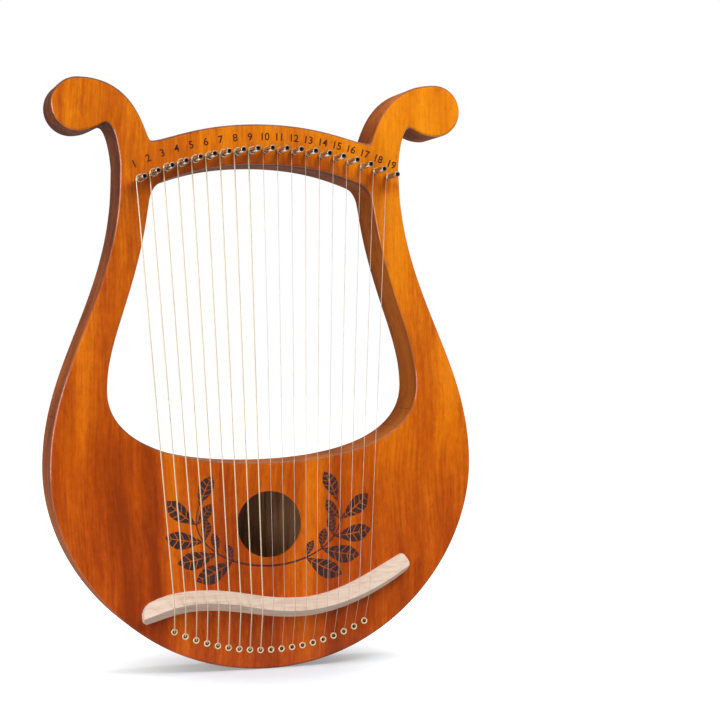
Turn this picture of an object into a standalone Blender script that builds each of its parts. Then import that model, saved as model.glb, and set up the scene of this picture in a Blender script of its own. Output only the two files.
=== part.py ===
"""Lyre harp with nineteen strings: a hollow mahogany body with two scrolled arms and a crossbar.

The harp stands upright. X runs from the lowest string to the highest, Y from front to back and
Z up from the lowest point of the body. The origin is below the middle of the whole instrument.
Everything is in metres.
"""

import math

import bmesh
import bpy
from mathutils import Vector
from mathutils.geometry import interpolate_bezier

# Body as seen from the front: half widths are from the middle, heights from the lowest point
TOTAL_HEIGHT = 0.5385
BODY_HALF_WIDTH = 0.200
WIDEST_HEIGHT = 0.1855
BOWL_BOTTOM_REACH = 0.119
BOWL_SIDE_REACH = 0.089
FLANK_REACH = 0.100

# Arms: the waist is where an arm is narrowest, just below its scroll
WAIST_HALF_WIDTH = 0.1325
WAIST_DROP = 0.0325
WAIST_LOWER_REACH = 0.1175
WAIST_UPPER_REACH = 0.0145
ARM_WIDTH = 0.0265
SIDE_WIDTH = 0.053

# Scrolls at the ends of the arms, and the notch under each
SCROLL_HEIGHT = 0.0485
SCROLL_OVERHANG = 0.0615
SCROLL_NOSE = 0.0245
SCROLL_BACK_REACH = 0.057
NOTCH_SET_IN = 0.0115
NOTCH_RISE = 0.008
NOTCH_REACH = 0.007

# Crossbar: drops are measured down from the top of the scrolls
CROSSBAR_TOP_DROP = 0.0395
CROSSBAR_TOP_REACH = 0.060
CROSSBAR_HEIGHT = 0.037
FILLET_SET_IN = 0.029
FILLET_DROP = 0.056
FILLET_REACH = 0.006
FILLET_BAR_REACH = 0.014

# Window between the arms
WINDOW_BOTTOM_HEIGHT = 0.1895
WINDOW_BOTTOM_REACH = 0.095
WINDOW_WIDEST_RISE = 0.068
WINDOW_LOWER_REACH = 0.043
WINDOW_UPPER_REACH = 0.0475
WINDOW_SIDE_REACH = 0.085
WINDOW_CORNER_DROP = 0.034
WINDOW_CORNER_SET_IN = 0.0105
WINDOW_CORNER_HEIGHT = 0.0165
WINDOW_CORNER_REACH = 0.0065
WINDOW_TOP_REACH = 0.0435

# Thicknesses through the body
BODY_THICKNESS = 0.048
FRONT_PLATE_THICKNESS = 0.003
BACK_PLATE_THICKNESS = 0.003
EDGE_ROUNDING = 0.0018
EDGE_SEGMENTS = 2

# Frame inside the body
RIM_WIDTH = 0.012
RIB_WIDTH = 0.013
TAIL_HEIGHT = 0.046
CHAMBER_TOP_DROP = 0.020
SHOULDER_HEIGHT = 0.235
RIB_HALF_LENGTH = 0.128
CROSSBAR_HALF_LENGTH = 0.100

# Bars glued inside
BRACE_WIDTH = 0.007
BRACE_DEPTH = 0.009
BRACE_SPACING = 0.096
BACK_BRACE_HALF_LENGTH = 0.130
BACK_BRACE_HEIGHT = 0.082

# Sound hole
SOUND_HOLE_RADIUS = 0.0305
SOUND_HOLE_HEIGHT = 0.1325
SOUND_HOLE_SIDES = 40

# The strings and the sound hole lie a little to the right of the outline's middle
STRING_COUNT = 19
STRING_BAND_OFFSET = 0.0015

# Tuning pins, on an arc above the window that is turned a little, lower on the left
PIN_ARC_RADIUS = 0.2958
PIN_ROW_RISE = 0.0124
PIN_ROW_TILT = math.radians(1.05)
PIN_STEP = math.radians(2.62)
PIN_RADIUS = 0.0025
PIN_PROJECTION = 0.029
PIN_DEPTH = 0.021
PIN_SIDES = 12
PIN_CHAMFER = 0.0004
PIN_CLEARANCE = 0.0001
SOCKET_WIDTH = 0.0026
SOCKET_DEPTH = 0.004

# Bridge: an S seen from the front. Three lines run along it: its upper edge, the ridge that
# carries the strings, and its lower edge. Each has a left end, a crest, a dip and a right end
BRIDGE_CREST_X = -0.066
BRIDGE_DIP_X = 0.028
BRIDGE_END_REACH = 0.020
BRIDGE_WAVE_REACH = 0.038
UPPER_EDGE_LEFT = Vector((-0.1205, 0.0615))
UPPER_EDGE_CREST = 0.0752
UPPER_EDGE_DIP = 0.0640
UPPER_EDGE_RIGHT = Vector((0.1296, 0.1007))
UPPER_EDGE_SLOPES = (math.radians(33), math.radians(27))
RIDGE_LEFT = Vector((-0.1185, 0.0530))
RIDGE_CREST = 0.0645
RIDGE_DIP = 0.0531
RIDGE_RIGHT = Vector((0.1355, 0.0912))
RIDGE_SLOPES = (math.radians(18), math.radians(35))
LOWER_EDGE_LEFT = Vector((-0.1178, 0.0470))
LOWER_EDGE_CREST = 0.0571
LOWER_EDGE_DIP = 0.0473
LOWER_EDGE_RIGHT = Vector((0.1371, 0.0889))
LOWER_EDGE_SLOPES = (math.radians(14), math.radians(37))
BRIDGE_HEIGHT = 0.010
BRIDGE_UPPER_FALL = 0.46
BRIDGE_LOWER_FALL = 0.80
UPPER_LEFT_ROUNDING = 0.009
UPPER_RIGHT_ROUNDING = 0.002
LOWER_LEFT_ROUNDING = 0.003
LOWER_RIGHT_ROUNDING = 0.008

# Strings: the lower ones are wound, the upper ones are plain wire
WOUND_STRINGS = 9
WOUND_RADIUS = 0.00055
PLAIN_RADIUS = 0.0003
CREST_PITCH = 0.0103
EYELET_PITCH = 0.01006
EYELET_ARC_RADIUS = 0.2025
EYELET_EDGE_DISTANCE = 0.0173
EYELET_HOLE_RADIUS = 0.0022
STRING_HOLE_RADIUS = 0.0013
STRING_HOLE_SIDES = 8
BEAD_RADIUS = 0.0019
BEAD_TAPER = 0.0005
BEAD_HOLE_RADIUS = 0.0028
COIL_TURNS = 3
COIL_POINTS = 8
COIL_SPACING = 0.0005
COIL_HEIGHT = 0.0065
EYELET_BEND = 0.0008

# Clearances between pieces that touch
GAP = 0.0003
MERGE = 0.00002
CUTTER_MARGIN = 0.004

# Depths that follow
TOTAL_DEPTH = BODY_THICKNESS + PIN_PROJECTION
FACE_Y = PIN_PROJECTION - TOTAL_DEPTH / 2
BACK_Y = FACE_Y + BODY_THICKNESS
FRAME_FRONT_Y = FACE_Y + FRONT_PLATE_THICKNESS + GAP
FRAME_BACK_Y = BACK_Y - BACK_PLATE_THICKNESS - GAP
WINDOW_TOP = TOTAL_HEIGHT - CROSSBAR_TOP_DROP - CROSSBAR_HEIGHT
CHAMBER_TOP = SHOULDER_HEIGHT - CHAMBER_TOP_DROP

# Directions of travel along an outline
RIGHT = Vector((1, 0))
UP = Vector((0, 1))
LEFT = Vector((-1, 0))


def fresh_collections():
    for old in list(bpy.data.objects):
        bpy.data.objects.remove(old)
    parts = bpy.data.collections.new("lyre_harp")
    guides = bpy.data.collections.new("cutters_and_guides")
    for collection in (parts, guides):
        bpy.context.scene.collection.children.link(collection)
    return parts, guides


PARTS, GUIDES = fresh_collections()


def material(name, colour, roughness, metallic=0.0):
    made = bpy.data.materials.new(name)
    made.use_nodes = True
    shader = made.node_tree.nodes["Principled BSDF"]
    shader.inputs["Base Color"].default_value = (*colour, 1)
    shader.inputs["Roughness"].default_value = roughness
    shader.inputs["Metallic"].default_value = metallic
    return made


MAHOGANY_FRONT = material("mahogany_front", (0.62, 0.19, 0.02), 0.30)
MAHOGANY_SIDE = material("mahogany_side", (0.22, 0.05, 0.015), 0.35)
MAHOGANY_CORE = material("mahogany_core", (0.30, 0.08, 0.02), 0.45)
SPRUCE = material("spruce", (0.62, 0.42, 0.22), 0.60)
MAPLE = material("maple", (0.80, 0.66, 0.50), 0.45)
NICKEL = material("nickel", (0.66, 0.65, 0.62), 0.18, 1.0)
BRONZE = material("bronze_winding", (0.75, 0.50, 0.25), 0.30, 1.0)
STEEL = material("plain_steel", (0.70, 0.70, 0.70), 0.25, 1.0)


def linked(name, data, collection, finish=None):
    made = bpy.data.objects.new(name, data)
    collection.objects.link(made)
    if finish:
        data.materials.clear()
        data.materials.append(finish)
    if collection == GUIDES:
        made.hide_render = True
        made.display_type = "WIRE"
    return made


def evaluated_mesh(source, name):
    """A welded mesh of what the object shows, modifiers and curve caps included."""
    graph = bpy.context.evaluated_depsgraph_get()
    graph.update()
    mesh = bpy.data.meshes.new_from_object(source.evaluated_get(graph))
    mesh.name = name
    shape = bmesh.new()
    shape.from_mesh(mesh)
    bmesh.ops.remove_doubles(shape, verts=shape.verts, dist=MERGE)
    bmesh.ops.recalc_face_normals(shape, faces=shape.faces)
    shape.to_mesh(mesh)
    shape.free()
    return mesh


def curve_to_solid(name, curve_object, collection, finish):
    mesh = evaluated_mesh(curve_object, name)
    place = curve_object.matrix_world.copy()
    data = curve_object.data
    bpy.data.objects.remove(curve_object)
    bpy.data.curves.remove(data)
    made = linked(name, mesh, collection, finish)
    made.matrix_world = place
    return made


def boolean(target, cutter, operation="DIFFERENCE"):
    cut = target.modifiers.new(cutter.name, "BOOLEAN")
    cut.operation = operation
    cut.solver = "EXACT"
    cut.object = cutter


def smooth_curve(anchors, steps):
    """Points along a smooth curve. Each anchor is its place, its direction and how far its two
    handles reach, back and forward. steps gives the number of points for each stretch."""
    points = []
    for start, end, count in zip(anchors[:-1], anchors[1:], steps):
        place, heading, _, forward = start
        next_place, next_heading, backward, _ = end
        points += interpolate_bezier(
            place,
            place + heading * forward,
            next_place - next_heading * backward,
            next_place,
            count + 1,
        )[:-1]
    return [Vector((p.x, p.y)) for p in points] + [anchors[-1][0].copy()]


def mirrored_loop(half):
    """A closed loop from the points of its right half, which start and end on the middle line."""
    return half + [Vector((-p.x, p.y)) for p in reversed(half[1:-1])]


def offset(points, distance):
    """The points moved sideways, to the left of their direction of travel."""
    moved = []
    for index, point in enumerate(points):
        ahead = points[min(index + 1, len(points) - 1)]
        behind = points[max(index - 1, 0)]
        travel = (ahead - behind).normalized()
        moved.append(point + Vector((-travel.y, travel.x)) * distance)
    return moved


def outer_half():
    scroll_bottom = TOTAL_HEIGHT - SCROLL_HEIGHT
    scroll_tip = WAIST_HALF_WIDTH + SCROLL_OVERHANG
    scroll_middle = scroll_tip - SCROLL_NOSE
    round_reach = 0.55 * SCROLL_NOSE
    anchors = [
        (Vector((0, 0)), RIGHT, 0, BOWL_BOTTOM_REACH),
        (Vector((BODY_HALF_WIDTH, WIDEST_HEIGHT)), UP, BOWL_SIDE_REACH, FLANK_REACH),
        (
            Vector((WAIST_HALF_WIDTH, scroll_bottom - WAIST_DROP)),
            UP,
            WAIST_LOWER_REACH,
            WAIST_UPPER_REACH,
        ),
        (
            Vector((WAIST_HALF_WIDTH + NOTCH_SET_IN, scroll_bottom + NOTCH_RISE)),
            RIGHT,
            NOTCH_REACH,
            NOTCH_REACH / 2,
        ),
        (Vector((scroll_middle, scroll_bottom)), RIGHT, round_reach, round_reach),
        (
            Vector((scroll_tip, TOTAL_HEIGHT - SCROLL_HEIGHT / 2)),
            UP,
            round_reach,
            round_reach,
        ),
        (Vector((scroll_middle, TOTAL_HEIGHT)), LEFT, round_reach, SCROLL_BACK_REACH),
        (
            Vector((WAIST_HALF_WIDTH - FILLET_SET_IN, TOTAL_HEIGHT - FILLET_DROP)),
            LEFT,
            FILLET_REACH,
            FILLET_BAR_REACH,
        ),
        (Vector((0, TOTAL_HEIGHT - CROSSBAR_TOP_DROP)), LEFT, CROSSBAR_TOP_REACH, 0),
    ]
    return smooth_curve(anchors, (12, 11, 7, 4, 5, 5, 11, 7))


def window_half():
    widest = BODY_HALF_WIDTH - SIDE_WIDTH
    corner = WAIST_HALF_WIDTH - ARM_WIDTH
    side_heading = Vector((-0.14, 0.99)).normalized()
    bar_heading = Vector((-0.93, 0.37)).normalized()
    corner_foot = Vector((corner, WINDOW_TOP - WINDOW_CORNER_DROP))
    corner_head = corner_foot + Vector((-WINDOW_CORNER_SET_IN, WINDOW_CORNER_HEIGHT))
    anchors = [
        (Vector((0, WINDOW_BOTTOM_HEIGHT)), RIGHT, 0, WINDOW_BOTTOM_REACH),
        (
            Vector((widest, WINDOW_BOTTOM_HEIGHT + WINDOW_WIDEST_RISE)),
            UP,
            WINDOW_LOWER_REACH,
            WINDOW_UPPER_REACH,
        ),
        (corner_foot, side_heading, WINDOW_SIDE_REACH, WINDOW_CORNER_REACH),
        (corner_head, bar_heading, WINDOW_CORNER_REACH, WINDOW_CORNER_REACH * 4),
        (Vector((0, WINDOW_TOP)), LEFT, WINDOW_TOP_REACH, 0),
    ]
    return smooth_curve(anchors, (11, 8, 5, 7))


def chamber_half():
    """The sound chamber: a rim's width inside the body's outline, a rib's width below the window."""
    flank = [p for p in offset(outer_half(), RIM_WIDTH) if p.x > 0 and TAIL_HEIGHT < p.y < CHAMBER_TOP]
    flank = flank[: 1 + max(i for i, p in enumerate(flank) if p.x > BODY_HALF_WIDTH / 2)]
    rib = [p for p in offset(window_half(), -RIB_WIDTH) if p.y < CHAMBER_TOP]
    lower_corner = Vector((flank[0].x - (flank[0].y - TAIL_HEIGHT), TAIL_HEIGHT))
    return [Vector((0, TAIL_HEIGHT)), lower_corner, *flank, *reversed(rib)]


def circle(centre, radius, sides):
    turn = 2 * math.pi / sides
    return [
        centre + Vector((math.cos(turn * (i + 0.5)), math.sin(turn * (i + 0.5)))) * radius
        for i in range(sides)
    ]


def flat_solid(name, loops, front, back, collection, finish):
    """A board standing on edge: closed loops in X and Z, filled with their holes left open."""
    outline = bpy.data.curves.new(name, "CURVE")
    outline.dimensions = "2D"
    outline.fill_mode = "BOTH"
    outline.extrude = (back - front) / 2
    for loop in loops:
        spline = outline.splines.new("POLY")
        spline.points.add(len(loop) - 1)
        for point, place in zip(spline.points, loop):
            point.co = (place.x, place.y, 0, 1)
        spline.use_cyclic_u = True
    board = linked(name, outline, GUIDES)
    board.location = (0, (front + back) / 2, 0)
    board.rotation_euler = (math.pi / 2, 0, 0)
    bpy.context.view_layer.update()
    return curve_to_solid(name, board, collection, finish)


def block(name, low, high, collection=None, finish=None):
    """A box between two corners."""
    mesh = bpy.data.meshes.new(name)
    shape = bmesh.new()
    bmesh.ops.create_cube(shape, size=1)
    bmesh.ops.scale(shape, vec=[b - a for a, b in zip(low, high)], verts=shape.verts)
    shape.to_mesh(mesh)
    shape.free()
    made = linked(name, mesh, collection or GUIDES, finish)
    made.location = [(a + b) / 2 for a, b in zip(low, high)]
    return made


def rods_along_y(name, rods):
    """One cutter of separate rods, each given as (x, z), radius, sides, front and back."""
    mesh = bpy.data.meshes.new(name)
    shape = bmesh.new()
    for place, radius, sides, front, back in rods:
        made = bmesh.ops.create_cone(
            shape,
            cap_ends=True,
            segments=sides,
            radius1=radius,
            radius2=radius,
            depth=back - front,
        )
        for vertex in made["verts"]:
            x, y, z = vertex.co
            vertex.co = (x + place.x, (front + back) / 2 - z, y + place.y)
    shape.to_mesh(mesh)
    shape.free()
    return linked(name, mesh, GUIDES)


def string_radius(number):
    return WOUND_RADIUS if number <= WOUND_STRINGS else PLAIN_RADIUS


def from_middle(number):
    """How many strings a string is to the right of the middle one."""
    return number - (STRING_COUNT + 1) / 2


def arc_spoke(turn):
    return Vector((math.sin(turn), math.cos(turn))) * PIN_ARC_RADIUS


def pin_place(number):
    middle = Vector((STRING_BAND_OFFSET, WINDOW_TOP + PIN_ROW_RISE))
    centre = middle - arc_spoke(-PIN_ROW_TILT)
    return centre + arc_spoke(from_middle(number) * PIN_STEP - PIN_ROW_TILT)


def eyelet_place(number):
    x = from_middle(number) * EYELET_PITCH
    rise = EYELET_ARC_RADIUS - math.sqrt(EYELET_ARC_RADIUS**2 - x * x)
    return Vector((x + STRING_BAND_OFFSET, EYELET_EDGE_DISTANCE + rise))


def pin_hole_radius():
    """The hole's flat sides clear the pin's corners as the pin turns."""
    return (PIN_RADIUS + PIN_CLEARANCE) / math.cos(math.pi / PIN_SIDES)


NUMBERS = range(1, STRING_COUNT + 1)


def round_edges(board, depth):
    """Marks the long edges of a board's face at this depth and rounds them, holes left sharp."""
    mesh = board.data
    shape = bmesh.new()
    shape.from_mesh(mesh)
    weight = shape.edges.layers.float.new("bevel_weight_edge")
    outline = mirrored_loop(outer_half()) + mirrored_loop(window_half())
    for edge in shape.edges:
        ends = [board.matrix_world @ v.co for v in edge.verts]
        at_depth = all(abs(end.y - depth) < MERGE for end in ends)
        if not at_depth or edge.is_boundary or abs(edge.calc_face_angle(0)) < 1:
            continue
        on_outline = all(
            min((Vector((end.x, end.z)) - p).length for p in outline) < MERGE for end in ends
        )
        edge[weight] = 1.0 if on_outline else 0.0
    shape.to_mesh(mesh)
    shape.free()
    bevel = board.modifiers.new("rounded_edge", "BEVEL")
    bevel.limit_method = "WEIGHT"
    bevel.width = EDGE_ROUNDING
    bevel.segments = EDGE_SEGMENTS


def build_plates():
    outer = mirrored_loop(outer_half())
    window = mirrored_loop(window_half())
    sound_hole = circle(
        Vector((STRING_BAND_OFFSET, SOUND_HOLE_HEIGHT)), SOUND_HOLE_RADIUS, SOUND_HOLE_SIDES
    )
    pin_holes = [circle(pin_place(n), pin_hole_radius(), PIN_SIDES) for n in NUMBERS]
    eyelet_holes = [circle(eyelet_place(n), EYELET_HOLE_RADIUS, PIN_SIDES) for n in NUMBERS]
    bead_holes = [circle(eyelet_place(n), BEAD_HOLE_RADIUS, STRING_HOLE_SIDES) for n in NUMBERS]
    front = flat_solid(
        "front_plate",
        [outer, window, sound_hole, *pin_holes, *eyelet_holes],
        FACE_Y,
        FACE_Y + FRONT_PLATE_THICKNESS,
        PARTS,
        MAHOGANY_FRONT,
    )
    round_edges(front, FACE_Y)
    back = flat_solid(
        "back_plate",
        [outer, window, *bead_holes],
        BACK_Y - BACK_PLATE_THICKNESS,
        BACK_Y,
        PARTS,
        MAHOGANY_SIDE,
    )
    round_edges(back, BACK_Y)


def build_frame():
    """The solid wood between the plates, cut from one outline and split where its pieces meet."""
    whole = flat_solid(
        "frame_blank",
        [
            mirrored_loop(outer_half()),
            mirrored_loop(window_half()),
            mirrored_loop(chamber_half()),
        ],
        FRAME_FRONT_Y,
        FRAME_BACK_Y,
        GUIDES,
        None,
    )
    front = FACE_Y - CUTTER_MARGIN
    back = BACK_Y + CUTTER_MARGIN
    bores = [
        (pin_place(n), pin_hole_radius(), PIN_SIDES, front, FACE_Y + PIN_DEPTH) for n in NUMBERS
    ]
    bores += [
        (eyelet_place(n), STRING_HOLE_RADIUS, STRING_HOLE_SIDES, front, back) for n in NUMBERS
    ]
    boolean(whole, rods_along_y("bores", bores))
    blank = evaluated_mesh(whole, "frame_blank_cut")
    place = whole.matrix_world.copy()
    bpy.data.objects.remove(whole)

    wide = BODY_HALF_WIDTH + CUTTER_MARGIN
    top = TOTAL_HEIGHT + CUTTER_MARGIN
    bottom = -CUTTER_MARGIN
    seam = GAP / 2
    rib_floor = (TAIL_HEIGHT + CHAMBER_TOP) / 2
    regions = {
        "tail_block": ((-wide, bottom), (wide, TAIL_HEIGHT)),
        "left_rim": ((-wide, TAIL_HEIGHT + GAP), (-seam, SHOULDER_HEIGHT - seam)),
        "right_rim": ((seam, TAIL_HEIGHT + GAP), (wide, SHOULDER_HEIGHT - seam)),
        "window_rib": ((-RIB_HALF_LENGTH, rib_floor), (RIB_HALF_LENGTH, SHOULDER_HEIGHT)),
        "left_arm": ((-wide, SHOULDER_HEIGHT + seam), (-CROSSBAR_HALF_LENGTH - GAP, top)),
        "right_arm": ((CROSSBAR_HALF_LENGTH + GAP, SHOULDER_HEIGHT + seam), (wide, top)),
        "crossbar": (
            (-CROSSBAR_HALF_LENGTH, SHOULDER_HEIGHT + CUTTER_MARGIN),
            (CROSSBAR_HALF_LENGTH, top),
        ),
    }
    rib_space = block(
        "rib_space",
        (-RIB_HALF_LENGTH - GAP, front, rib_floor - GAP),
        (RIB_HALF_LENGTH + GAP, back, SHOULDER_HEIGHT + CUTTER_MARGIN),
    )
    for name, (low, high) in regions.items():
        piece = linked(name, blank.copy(), PARTS, MAHOGANY_CORE)
        piece.data.name = name
        piece.matrix_world = place
        region = block(name + "_region", (low[0], front, low[1]), (high[0], back, high[1]))
        boolean(piece, region, "INTERSECT")
        if name.endswith("rim"):
            boolean(piece, rib_space)


def build_braces():
    front = FRAME_FRONT_Y
    floor = TAIL_HEIGHT + GAP
    rib_underside = WINDOW_BOTTOM_HEIGHT - RIB_WIDTH
    for name, side in (("left_brace", -1), ("right_brace", 1)):
        middle = side * BRACE_SPACING / 2
        block(
            name,
            (middle - BRACE_WIDTH / 2, front, floor),
            (middle + BRACE_WIDTH / 2, front + BRACE_DEPTH, rib_underside - GAP),
            PARTS,
            SPRUCE,
        )
    block(
        "back_brace",
        (-BACK_BRACE_HALF_LENGTH, FRAME_BACK_Y - BRACE_DEPTH, BACK_BRACE_HEIGHT - BRACE_WIDTH / 2),
        (BACK_BRACE_HALF_LENGTH, FRAME_BACK_Y, BACK_BRACE_HEIGHT + BRACE_WIDTH / 2),
        PARTS,
        SPRUCE,
    )


def bridge_line(left, crest, dip, right, slopes):
    """Points along one of the bridge's lines, from its left end to its right end."""
    left_heading = Vector((math.cos(slopes[0]), math.sin(slopes[0])))
    right_heading = Vector((math.cos(slopes[1]), math.sin(slopes[1])))
    anchors = [
        (left, left_heading, 0, BRIDGE_END_REACH),
        (Vector((BRIDGE_CREST_X, crest)), RIGHT, BRIDGE_END_REACH, BRIDGE_WAVE_REACH),
        (Vector((BRIDGE_DIP_X, dip)), RIGHT, BRIDGE_WAVE_REACH, BRIDGE_WAVE_REACH),
        (right, right_heading, BRIDGE_WAVE_REACH, 0),
    ]
    return smooth_curve(anchors, (6, 10, 11))


def ridge_line():
    return bridge_line(RIDGE_LEFT, RIDGE_CREST, RIDGE_DIP, RIDGE_RIGHT, RIDGE_SLOPES)


def ridge_place(x):
    """Where the ridge lies at this distance from the middle."""
    ridge = ridge_line()
    for start, end in zip(ridge[:-1], ridge[1:]):
        if start.x <= x <= end.x:
            return start.lerp(end, (x - start.x) / (end.x - start.x))
    return ridge[0] if x < ridge[0].x else ridge[-1]


def rounded_corner(before, corner, after, reach):
    start = corner + (before - corner).normalized() * reach
    end = corner + (after - corner).normalized() * reach
    arc = interpolate_bezier(start, start.lerp(corner, 0.55), end.lerp(corner, 0.55), end, 5)
    return [Vector((p.x, p.y)) for p in arc]


def bridge_outline():
    upper = bridge_line(
        UPPER_EDGE_LEFT, UPPER_EDGE_CREST, UPPER_EDGE_DIP, UPPER_EDGE_RIGHT, UPPER_EDGE_SLOPES
    )
    lower = bridge_line(
        LOWER_EDGE_LEFT, LOWER_EDGE_CREST, LOWER_EDGE_DIP, LOWER_EDGE_RIGHT, LOWER_EDGE_SLOPES
    )
    roundings = (UPPER_LEFT_ROUNDING, UPPER_RIGHT_ROUNDING)
    above = [
        p
        for p in upper
        if (p - upper[0]).length > roundings[0] and (p - upper[-1]).length > roundings[1]
    ]
    roundings = (LOWER_LEFT_ROUNDING, LOWER_RIGHT_ROUNDING)
    below = [
        p
        for p in lower
        if (p - lower[0]).length > roundings[0] and (p - lower[-1]).length > roundings[1]
    ]
    return [
        *above,
        *rounded_corner(above[-1], upper[-1], lower[-1], UPPER_RIGHT_ROUNDING),
        *rounded_corner(upper[-1], lower[-1], below[-1], LOWER_RIGHT_ROUNDING),
        *reversed(below),
        *rounded_corner(below[0], lower[0], upper[0], LOWER_LEFT_ROUNDING),
        *rounded_corner(lower[0], upper[0], above[0], UPPER_LEFT_ROUNDING),
    ]


def bridge_roof():
    """A roof swept along the ridge, wider and longer than the bridge that it shapes."""
    width = max(UPPER_EDGE_CREST - RIDGE_CREST, RIDGE_CREST - LOWER_EDGE_CREST) * 1.25
    profile = bpy.data.curves.new("roof_profile", "CURVE")
    profile.dimensions = "2D"
    corners = [
        (-width, -CUTTER_MARGIN),
        (-width, max(BRIDGE_HEIGHT - width * BRIDGE_LOWER_FALL, -CUTTER_MARGIN / 2)),
        (0, BRIDGE_HEIGHT),
        (width, BRIDGE_HEIGHT - width * BRIDGE_UPPER_FALL),
        (width, -CUTTER_MARGIN),
    ]
    section = profile.splines.new("POLY")
    section.points.add(len(corners) - 1)
    for point, (across, out) in zip(section.points, corners):
        point.co = (-across, out, 0, 1)
    section.use_cyclic_u = True
    profile_object = linked("roof_profile", profile, GUIDES)

    line = ridge_line()
    beyond = 2 * CUTTER_MARGIN
    start = line[0] + (line[0] - line[1]).normalized() * beyond
    end = line[-1] + (line[-1] - line[-2]).normalized() * beyond
    places = [start, *line[1:-1], end]
    path = bpy.data.curves.new("bridge_roof", "CURVE")
    path.dimensions = "3D"
    path.twist_mode = "Z_UP"
    path.bevel_mode = "OBJECT"
    path.bevel_object = profile_object
    path.use_fill_caps = True
    spline = path.splines.new("POLY")
    spline.points.add(len(places) - 1)
    for point, place in zip(spline.points, places):
        point.co = (place.x, place.y, 0, 1)
    roof = linked("bridge_roof", path, GUIDES)
    roof.location = (0, FACE_Y - GAP, 0)
    roof.rotation_euler = (math.pi / 2, 0, 0)
    bpy.context.view_layer.update()
    roof = curve_to_solid("bridge_roof", roof, GUIDES, MAPLE)
    bpy.data.objects.remove(profile_object)
    return roof


def build_bridge():
    foot = FACE_Y - GAP
    bridge = flat_solid(
        "bridge", [bridge_outline()], foot - BRIDGE_HEIGHT - CUTTER_MARGIN, foot, PARTS, MAPLE
    )
    boolean(bridge, bridge_roof(), "INTERSECT")


def turned_pin():
    """A tuning pin, turned about Z, with a square socket in its outer end."""
    inner = GAP - PIN_DEPTH
    outline = [
        (0, PIN_PROJECTION),
        (PIN_RADIUS - PIN_CHAMFER, PIN_PROJECTION),
        (PIN_RADIUS, PIN_PROJECTION - PIN_CHAMFER),
        (PIN_RADIUS, inner),
        (0, inner),
    ]
    mesh = bpy.data.meshes.new("pin_outline")
    mesh.from_pydata(
        [(x, 0, z) for x, z in outline], [(i, i + 1) for i in range(len(outline) - 1)], []
    )
    pin = linked("pin_outline", mesh, GUIDES)
    turn = pin.modifiers.new("turned", "SCREW")
    turn.steps = PIN_SIDES
    turn.render_steps = PIN_SIDES
    turn.use_merge_vertices = True
    turn.merge_threshold = MERGE
    half = SOCKET_WIDTH / 2
    socket = block(
        "socket",
        (-half, -half, PIN_PROJECTION - SOCKET_DEPTH),
        (half, half, PIN_PROJECTION + CUTTER_MARGIN),
    )
    boolean(pin, socket)
    made = evaluated_mesh(pin, "tuning_pin")
    made.materials.append(NICKEL)
    bpy.data.objects.remove(pin)
    bpy.data.objects.remove(socket)
    return made


def build_pins():
    mesh = turned_pin()
    for number in NUMBERS:
        pin = linked(f"tuning_pin_{number:02d}", mesh, PARTS)
        place = pin_place(number)
        pin.location = (place.x, FACE_Y, place.y)
        pin.rotation_euler = (math.pi / 2, 0, 0)


def string_points(number):
    """The string's middle line and its radius at each point, from the bead behind to its coil."""
    wire = string_radius(number)
    eyelet = eyelet_place(number)
    bead_end = FRAME_BACK_Y + GAP + BEAD_TAPER
    run = [
        ((eyelet.x, BACK_Y - GAP, eyelet.y), BEAD_RADIUS),
        ((eyelet.x, bead_end, eyelet.y), BEAD_RADIUS),
        ((eyelet.x, bead_end - BEAD_TAPER, eyelet.y), wire),
        ((eyelet.x, FACE_Y, eyelet.y), wire),
    ]
    ridge = ridge_place(from_middle(number) * CREST_PITCH + STRING_BAND_OFFSET)
    crest = Vector((ridge.x, FACE_Y - GAP - BRIDGE_HEIGHT - GAP - wire, ridge.y))
    bend = Vector((eyelet.x, FACE_Y - EYELET_BEND, eyelet.y))
    bend += (crest - bend).normalized() * EYELET_BEND
    run += [(bend, wire), (crest, wire)]

    # The coil clears the pin even halfway between two of its points
    reach = (PIN_RADIUS + GAP + wire) / math.cos(math.pi / COIL_POINTS)
    pin = pin_place(number)
    drop = ridge - pin
    lean = math.atan2(-drop.x, -drop.y)
    aside = math.asin(reach / drop.length)
    start = math.pi - lean - aside
    spacing = 2 * wire + COIL_SPACING
    for step in range(COIL_TURNS * COIL_POINTS + 1):
        turns = step / COIL_POINTS
        angle = start - 2 * math.pi * turns
        x = pin.x + reach * math.cos(angle)
        z = pin.y + reach * math.sin(angle)
        run.append(((x, FACE_Y - COIL_HEIGHT - spacing * turns, z), wire))
    last = Vector(run[-1][0])
    ahead = (last - Vector(run[-2][0])).normalized()
    run.append((last + ahead * 2 * wire, wire))
    return run


def least_gap(points, wire):
    """The narrowest gap between stretches of one tube that are over three widths apart."""
    fine = []
    for start, end in zip(points[:-1], points[1:]):
        fine += [start.lerp(end, share / 4) for share in range(4)]
    travelled = [0.0]
    for start, end in zip(fine[:-1], fine[1:]):
        travelled.append(travelled[-1] + (end - start).length)
    return min(
        (fine[i] - fine[j]).length - 2 * wire
        for i in range(len(fine))
        for j in range(i)
        if travelled[i] - travelled[j] > 6 * wire + COIL_SPACING
    )


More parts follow.
